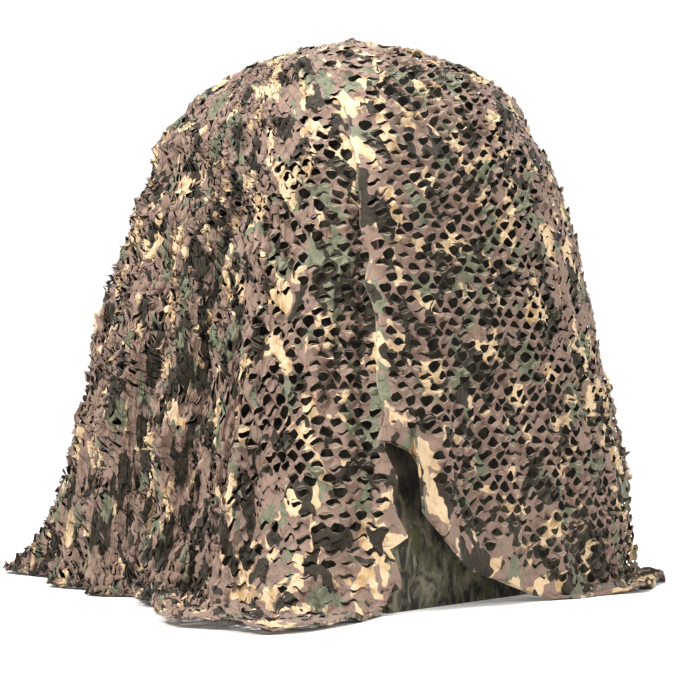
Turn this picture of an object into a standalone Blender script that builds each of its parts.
"""A camouflage net thrown over a plain pop-up dome hide, in metres, +Z up.

The hide is a square dome tent: four cloth gores that meet along four bowed ridges and at the crown.
The net is one sheet.  It lies on the crown, hangs over the walls in folds and ends flat on the floor.
Its near edge crosses the front ridge at the parting: below that point the right half laps over the
left half, and the right half's hem stops short of the floor at the front.
Azimuths are degrees round the dome from its front ridge (-Y), growing towards +X.
"""
import math

import bpy
import numpy as np

# ---------------------------------------------------------------- sizes of the net
NET_THICKNESS = 0.002        # cloth and backing mesh
NET_TO_HIDE = 0.010          # net's outer face to the hide's, along a ridge of the hide
CROWN_GAP = 0.0003           # the net's seat on the hide's crown
PARTING_HEIGHT = 1.485       # where the near edge crosses the front of the dome
PARTING_AZIMUTH = -9.0
LAP_LIFT = 0.020             # how far the lapping edge stands off the half beneath
LIFT_LENGTH = 0.120          # it reaches that far this much below the parting
LAP_SPAN = 16.0              # each half bends to its edge over this many degrees
FLARE_HEIGHT = 0.62          # below this height the net spreads outwards
FOLD_GROWTH = 0.8            # power by which a fold deepens from its start to the floor
CREASE_RADIUS = 0.035        # bend where hanging cloth turns on to the floor

# the net's outer face along a ridge of the dome, crown to floor
# distance from the axis, height, squareness of the plan (1 a square, 2 a circle)
RIDGE = (
    (0.000, 1.718, 1.35),
    (0.120, 1.710, 1.35),
    (0.250, 1.680, 1.33),
    (0.370, 1.620, 1.30),
    (0.460, 1.545, 1.30),
    (0.535, 1.450, 1.32),
    (0.600, 1.330, 1.34),
    (0.660, 1.180, 1.34),
    (0.715, 1.020, 1.32),
    (0.765, 0.850, 1.30),
    (0.815, 0.660, 1.27),
    (0.860, 0.470, 1.24),
    (0.886, 0.320, 1.21),
    (0.902, 0.160, 1.19),
    (0.910, 0.002, 1.19),
)

# azimuth on the floor, half width in degrees, depth, where it starts (0 crown, 1 floor), lean
FOLDS = (
    (12.0, 5.0, 0.050, 0.45, -2.0),
    (27.0, 10.0, 0.018, 0.40, 4.0),
    (46.0, 10.0, 0.024, 0.45, 3.0),
    (64.0, 9.0, 0.022, 0.50, 2.0),
    (83.0, 10.0, 0.012, 0.45, 0.0),
    (101.0, 9.0, 0.040, 0.35, -3.0),
    (118.0, 9.0, 0.052, 0.30, 2.0),
    (137.0, 10.0, 0.040, 0.35, 5.0),
    (156.0, 9.0, 0.055, 0.40, -4.0),
    (173.0, 9.0, 0.038, 0.30, 0.0),
    (190.0, 9.0, 0.050, 0.35, 3.0),
    (209.0, 10.0, 0.045, 0.30, -5.0),
    (228.0, 9.0, 0.052, 0.40, 2.0),
    (246.0, 9.0, 0.040, 0.35, -2.0),
    (246.0, 16.0, 0.310, 0.75, 0.0),
    (261.0, 7.0, 0.020, 0.45, -4.0),
    (274.0, 8.0, 0.030, 0.35, -3.0),
    (292.0, 9.5, 0.080, 0.28, -7.0),
    (311.0, 10.0, 0.068, 0.28, -8.0),
    (330.0, 9.5, 0.048, 0.35, -6.0),
    (345.0, 7.5, 0.042, 0.45, -4.0),
)

# where the net stands off the hide: azimuth, half width, depth, middle from the crown, half length
SLACK = (
    (95.0, 85.0, 0.040, 0.75, 0.70),
    (95.0, 80.0, 0.050, 0.38, 0.30),
    (275.0, 40.0, 0.018, 0.62, 0.30),
    (215.0, 60.0, 0.030, 0.95, 0.60),
)

# distance below the parting, azimuth of the lapping edge and of the edge beneath it
EDGES = (
    (0.00, -9.0, -9.0),
    (0.05, -8.9, -9.1),
    (0.20, -5.8, -4.0),
    (0.45, -4.1, -1.0),
    (0.65, -2.4, 0.0),
    (0.90, -1.4, 0.3),
    (1.15, -0.7, 0.6),
    (1.30, -0.3, 2.0),
    (1.60, 0.0, 1.8),
)

# azimuth, spread of the net at the floor, length on the floor (or short of it, below zero)
HEM = (
    (-9.0, 0.000, -0.470),
    (2.0, 0.000, -0.460),
    (5.5, 0.000, -0.420),
    (7.5, 0.010, -0.270),
    (11.0, 0.020, -0.190),
    (16.0, 0.030, -0.125),
    (27.0, 0.040, -0.060),
    (40.0, 0.045, 0.000),
    (57.0, 0.060, 0.075),
    (65.0, 0.060, 0.110),
    (72.0, 0.050, 0.115),
    (80.0, 0.015, 0.115),
    (87.0, 0.000, 0.115),
    (95.0, 0.000, 0.080),
    (106.0, 0.020, 0.060),
    (125.0, 0.040, 0.110),
    (146.0, 0.030, 0.060),
    (165.0, 0.050, 0.130),
    (186.0, 0.040, 0.080),
    (205.0, 0.050, 0.140),
    (225.0, 0.050, 0.070),
    (236.0, 0.080, 0.070),
    (246.0, 0.100, 0.030),
    (254.0, 0.050, 0.020),
    (262.0, 0.020, 0.015),
    (270.0, 0.000, 0.005),
    (285.0, 0.000, 0.005),
    (302.0, 0.020, 0.020),
    (313.0, 0.060, 0.100),
    (321.0, 0.100, 0.190),
    (328.0, 0.150, 0.280),
    (334.0, 0.190, 0.350),
    (344.0, 0.210, 0.360),
    (349.0, 0.190, 0.290),
    (354.0, 0.120, 0.170),
    (360.0, 0.040, 0.045),
    (364.0, 0.030, 0.020),
)

# ---------------------------------------------------------------- sizes of the hide
HIDE_THICKNESS = 0.002
SEAM_GAP = 0.0003            # between two gores along a ridge
GORE_COLUMNS = 4
CROWN_HOLE = 0.002           # the gores' tips stop this far from the axis

# ---------------------------------------------------------------- meshing of the net
CROWN_ROWS = 6               # rows from the crown down to the parting
WALL_ROWS = 19               # rows from the parting to the hem
FIRST_ROW = 0.5              # the first row below the parting is this share of the others
# azimuth where a run of columns ends, and how many columns it has
COLUMN_RUNS = ((0.0, 4), (14.0, 6), (50.0, 8), (90.0, 9), (180.0, 19), (270.0, 19), (310.0, 9),
               (335.0, 6), (351.0, 8))


def smooth_table(x, xs, ys):
    """Cubic Hermite curve through a table, with slopes from its neighbours."""
    xs, ys = np.asarray(xs, float), np.asarray(ys, float)
    slope = np.gradient(ys, xs)
    x = np.clip(x, xs[0], xs[-1])
    k = np.clip(np.searchsorted(xs, x, side="right") - 1, 0, len(xs) - 2)
    width = xs[k + 1] - xs[k]
    t = (x - xs[k]) / width
    start = (2 * t**3 - 3 * t**2 + 1) * ys[k] + (t**3 - 2 * t**2 + t) * width * slope[k]
    end = (3 * t**2 - 2 * t**3) * ys[k + 1] + (t**3 - t**2) * width * slope[k + 1]
    return start + end


RIDGE_R, RIDGE_Z, SQUARENESS = (np.array(column) for column in zip(*RIDGE))
RIDGE_S = np.concatenate(([0.0], np.cumsum(np.hypot(np.diff(RIDGE_R), np.diff(RIDGE_Z)))))
FLOOR_S = RIDGE_S[-1]
HEM_AZIMUTH, HEM_SPREAD, HEM_REACH = (np.array(column) for column in zip(*HEM))
EDGE_S, LAPPING_EDGE, LOWER_EDGE = (np.array(column) for column in zip(*EDGES))
PARTING_S = np.interp(-PARTING_HEIGHT, -RIDGE_Z, RIDGE_S)


def plan_radius(radius, azimuth, squareness):
    """Radius of a rounded square whose corners lie on the ridges."""
    a = np.radians(azimuth)
    reach = np.abs(np.cos(a)) ** squareness + np.abs(np.sin(a)) ** squareness
    return radius / reach ** (1.0 / squareness)


def fold_height(azimuth, s):
    """How far the folds stand out of the smooth net at a place on it."""
    total = np.zeros(np.broadcast(azimuth, s).shape)
    down = np.clip(s / FLOOR_S, 0.0, 1.0)
    for centre, half_width, depth, start, lean in FOLDS:
        middle = centre + lean * (1.0 - down)
        off = (azimuth - middle + 180.0) % 360.0 - 180.0
        across = np.cos(np.clip(off / half_width, -1.0, 1.0) * math.pi / 2) ** 2
        along = np.clip((down - start) / (1.0 - start), 0.0, 1.0)
        total += depth * across * along**FOLD_GROWTH
    for centre, half_width, depth, middle, half_length in SLACK:
        off = (azimuth - centre + 180.0) % 360.0 - 180.0
        across = np.cos(np.clip(off / half_width, -1.0, 1.0) * math.pi / 2) ** 2
        along = np.cos(np.clip((s - middle) / half_length, -1.0, 1.0) * math.pi / 2) ** 2
        total += depth * across * along
    return total


def net_point(azimuth, s, lift):
    """Place on the net's outer face, s metres from the crown along the cloth."""
    radius = smooth_table(s, RIDGE_S, RIDGE_R)
    height = smooth_table(s, RIDGE_S, RIDGE_Z)
    squareness = np.interp(s, RIDGE_S, SQUARENESS)
    spread = np.interp(azimuth, HEM_AZIMUTH, HEM_SPREAD)
    near_floor = np.clip(1.0 - height / FLARE_HEIGHT, 0.0, 1.0)
    past = s - FLOOR_S
    on_floor = 0.5 * (past + np.sqrt(past**2 + CREASE_RADIUS**2))
    out = plan_radius(radius, azimuth, squareness) + spread * near_floor**2 + on_floor
    out = out + fold_height(azimuth, s) + lift
    a = np.radians(azimuth)
    return np.stack((out * np.sin(a), -out * np.cos(a), np.maximum(height, NET_THICKNESS)), -1)


def column_azimuths():
    """Azimuth of each column of the net at the parting, once round from it."""
    azimuths = [PARTING_AZIMUTH]
    for end, count in COLUMN_RUNS:
        azimuths += list(np.linspace(azimuths[-1], end, count + 1)[1:])
    return np.array(azimuths)


def net_grid():
    """Outer face of the net: its points, and its triangles as rows of three point numbers."""
    azimuths = column_azimuths()
    columns = len(azimuths) - 1
    points = [net_point(np.zeros(1), np.zeros(1), 0.0)]
    for row in range(1, CROWN_ROWS + 1):
        s = np.full(columns, PARTING_S * row / CROWN_ROWS)
        points.append(net_point(azimuths[:-1], s, 0.0))

    right = np.clip(1.0 - (azimuths - azimuths[0]) / LAP_SPAN, 0.0, 1.0)
    left = np.clip(1.0 - (azimuths[-1] - azimuths) / LAP_SPAN, 0.0, 1.0)
    for row in range(1, WALL_ROWS + 1):
        down = (row - 1 + FIRST_ROW) / (WALL_ROWS - 1 + FIRST_ROW)
        azimuth = azimuths
        for _ in range(2):
            reach = smooth_table(azimuth, HEM_AZIMUTH, HEM_REACH)
            below = down * (FLOOR_S + reach - PARTING_S)
            turn_right = np.interp(below, EDGE_S, LAPPING_EDGE) - PARTING_AZIMUTH
            turn_left = np.interp(below, EDGE_S, LOWER_EDGE) - PARTING_AZIMUTH
            azimuth = azimuths + right * turn_right + left * turn_left
        lift = right * LAP_LIFT * np.minimum(1.0, below / LIFT_LENGTH)
        points.append(net_point(azimuth, PARTING_S + below, lift))

    def number(row, column):
        if row == 0:
            return 0
        if row <= CROWN_ROWS:
            return 1 + (row - 1) * columns + column % columns
        return 1 + CROWN_ROWS * columns + (row - CROWN_ROWS - 1) * (columns + 1) + column

    points = np.concatenate(points)
    triangles = [(0, number(1, c), number(1, c + 1)) for c in range(columns)]
    for row in range(1, CROWN_ROWS + WALL_ROWS):
        for column in range(columns):
            quad = [number(row, column), number(row + 1, column),
                    number(row + 1, column + 1), number(row, column + 1)]
            triangles += split_quad(points, quad)
    return points, np.array(triangles)


def split_quad(points, quad):
    """Two triangles of a four-sided cell, along its shorter diagonal."""
    a, b, c, d = quad
    if np.linalg.norm(points[a] - points[c]) <= np.linalg.norm(points[b] - points[d]):
        return [(a, b, c), (a, c, d)]
    return [(a, b, d), (b, c, d)]


def vertex_normals(points, triangles):
    """Unit normal at each point, from the triangles round it."""
    corners = points[triangles]
    face = np.cross(corners[:, 1] - corners[:, 0], corners[:, 2] - corners[:, 0])
    normals = np.zeros_like(points)
    for corner in range(3):
        np.add.at(normals, triangles[:, corner], face)
    return normals / np.linalg.norm(normals, axis=1)[:, None]


def closed_sheet(name, points, inner, triangles, material):
    """Object of a sheet: its outer face, its inner face of the same triangles, and the rim."""
    count = len(points)
    faces = [tuple(t) for t in triangles.tolist()]
    edges = {(t[k], t[(k + 1) % 3]) for t in faces for k in range(3)}
    rim = [(a, b) for a, b in edges if (b, a) not in edges]
    inside = [(c + count, b + count, a + count) for a, b, c in faces]
    between = [(b, a, a + count, b + count) for a, b in sorted(rim)]
    mesh = bpy.data.meshes.new(name)
    mesh.from_pydata(np.concatenate((points, inner)).tolist(), [], faces + inside + between)
    mesh.shade_smooth()
    mesh.materials.append(material)
    thing = bpy.data.objects.new(name, mesh)
    bpy.context.scene.collection.objects.link(thing)
    return thing


def hide_ridge():
    """The hide's ridge line: the net's, set in along its normal, and seated at the crown."""
    tangent_r, tangent_z = np.gradient(RIDGE_R, RIDGE_S), np.gradient(RIDGE_Z, RIDGE_S)
    length = np.hypot(tangent_r, tangent_z)
    radius = RIDGE_R + NET_TO_HIDE * tangent_z / length
    height = RIDGE_Z - NET_TO_HIDE * tangent_r / length
    radius[0], height[0] = CROWN_HOLE, RIDGE_Z[0] - NET_THICKNESS - CROWN_GAP
    height[-1] = 0.0
    return radius, height


def hide_gore(name, quarter, material):
    """One cloth gore of the hide, between two ridges and from the crown to the floor."""
    radius, height = hide_ridge()
    start, end = math.radians(90 * quarter), math.radians(90 * (quarter + 1))
    corner = np.array(((math.sin(start), -math.cos(start)), (math.sin(end), -math.cos(end))))
    along = (corner[1] - corner[0]) / np.linalg.norm(corner[1] - corner[0])
    points = []
    for r, z in zip(radius, height):
        first, last = corner[0] * r + along * SEAM_GAP, corner[1] * r - along * SEAM_GAP
        for share in np.linspace(0.0, 1.0, GORE_COLUMNS + 1):
            points.append((*(first + (last - first) * share), z))
    points = np.array(points)
    triangles = []
    for row in range(len(radius) - 1):
        for column in range(GORE_COLUMNS):
            a = row * (GORE_COLUMNS + 1) + column
            b = a + GORE_COLUMNS + 1
            triangles += split_quad(points, [a, b, b + 1, a + 1])
    triangles = np.array(triangles)
    normals = vertex_normals(points, triangles)
    inner = points - HIDE_THICKNESS * normals
    # the inner face is mitred, so that it keeps the seam's gap to the next gore
    mitre = HIDE_THICKNESS * np.hypot(normals[:, 0], normals[:, 1])[:, None] * (*along, 0.0)
    inner[::GORE_COLUMNS + 1] += mitre[::GORE_COLUMNS + 1]
    inner[GORE_COLUMNS::GORE_COLUMNS + 1] -= mitre[GORE_COLUMNS::GORE_COLUMNS + 1]
    inner[:, 2] = np.maximum(inner[:, 2], 0.0)
    return closed_sheet(name, points, inner, triangles, material)


def cloth_material(name, colour, roughness):
    """Plain cloth of one colour (linear red, green, blue)."""
    material = bpy.data.materials.new(name)
    material.use_nodes = True
    surface = material.node_tree.nodes["Principled BSDF"]
    surface.inputs["Base Color"].default_value = (*colour, 1.0)
    surface.inputs["Roughness"].default_value = roughness
    surface.inputs["Metallic"].default_value = 0.0
    return material


def centre_on_floor(things):
    """Move all the things so that the middle of their outline lies on the Z axis."""
    corners = np.concatenate([np.array([v.co[:] for v in thing.data.vertices]) for thing in things])
    middle = (corners.min(axis=0) + corners.max(axis=0)) / 2
    for thing in things:
        thing.location = (-middle[0], -middle[1], 0.0)


def main():
    for thing in list(bpy.data.objects):
        bpy.data.objects.remove(thing)
    net_cloth = cloth_material("camouflage_net_cloth", (0.23, 0.16, 0.11), 0.85)
    points, triangles = net_grid()
    inner = points - NET_THICKNESS * vertex_normals(points, triangles)
    inner[:, 2] = np.maximum(inner[:, 2], 0.0)
    things = [closed_sheet("camouflage_net", points, inner, triangles, net_cloth)]
    for quarter, side in enumerate(("front_right", "back_right", "back_left", "front_left")):
        hide_cloth = cloth_material("hide_cloth_" + side, (0.06, 0.055, 0.04), 0.80)
        things.append(hide_gore("hide_gore_" + side, quarter, hide_cloth))
    centre_on_floor(things)


main()
